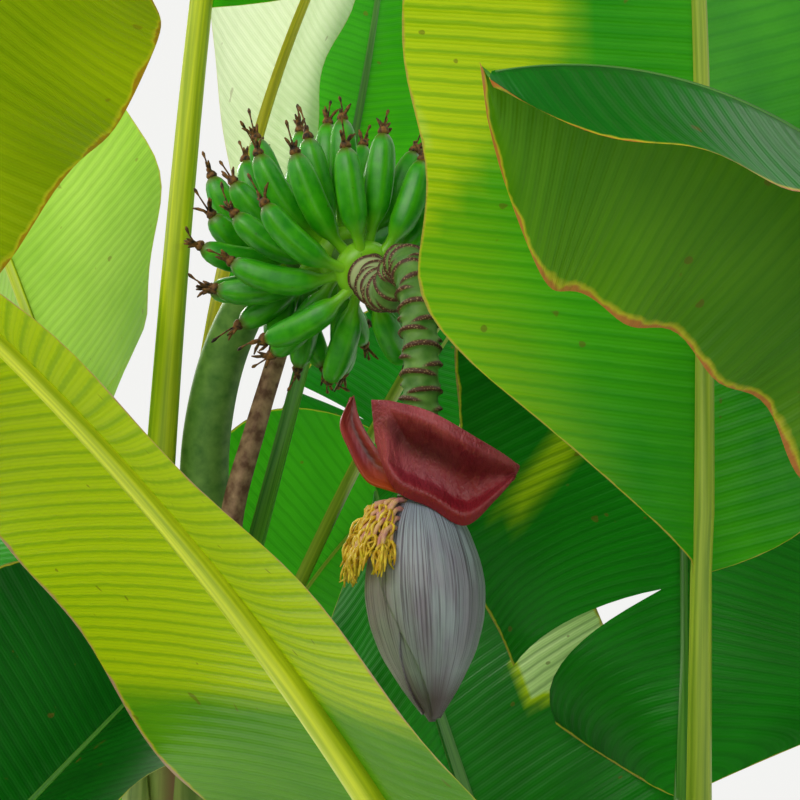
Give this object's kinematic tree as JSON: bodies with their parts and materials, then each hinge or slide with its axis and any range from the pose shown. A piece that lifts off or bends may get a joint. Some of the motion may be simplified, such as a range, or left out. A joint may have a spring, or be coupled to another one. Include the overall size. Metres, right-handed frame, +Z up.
{
  "type": "banana plant",
  "caption": "Fruiting banana plant: clump of stems with broad arching leaves, an arched bunch of green fruit, ringed stalk and purple male bud with a lifted bract.",
  "frame": {"origin": "centre of the flat cut under the main stem, at ground level", "axes": "+Z up; -Y towards the picture's camera, the side the bunch arches out to; +X to the right seen from there"},
  "size_m": [3.5422, 2.6619, 3.031],
  "materials": {
    "stem": "smooth waxy sheaths with dry brown patches",
    "leaf": "satin blade with fine side veins",
    "stalk": "smooth, slightly waxy",
    "rachis": "ringed with brown scars",
    "fruit": "smooth ribbed peel",
    "bud": "matt waxy bloom",
    "bract": "leathery, wrinkled",
    "flower": "matt",
    "dry_stalk": "dry, rough"
  },
  "bodies": {
    "root": {"stem_mother": "stem", "stem_front": "stem", "stem_right": "stem", "stem_back": "stem", "stem_left": "stem", "leaf_mother_1": "leaf", "leaf_mother_2": "leaf", "leaf_mother_3": "leaf", "leaf_mother_4": "leaf", "leaf_mother_5": "leaf", "leaf_mother_6": "leaf", "leaf_mother_7": "leaf", "leaf_front_1": "leaf", "leaf_front_2": "leaf", "leaf_front_3": "leaf", "leaf_front_4": "leaf", "leaf_front_5": "leaf", "leaf_right_1": "leaf", "leaf_right_2": "leaf", "leaf_right_3": "leaf", "leaf_right_4": "leaf", "leaf_back_1": "leaf", "leaf_back_2": "leaf", "leaf_back_3": "leaf", "leaf_back_4": "leaf", "leaf_left_1": "leaf", "leaf_left_2": "leaf", "leaf_left_3": "leaf", "leaf_left_4": "leaf", "bunch_stalk": "stalk", "rachis": "rachis", "hand_1": "fruit", "hand_2": "fruit", "hand_3": "fruit", "hand_4": "fruit", "male_bud": "bud", "bract_lifted": "bract", "bract_folded": "bract", "male_flowers": "flower", "dry_stalk": "dry_stalk"}
  },
  "joints": []
}
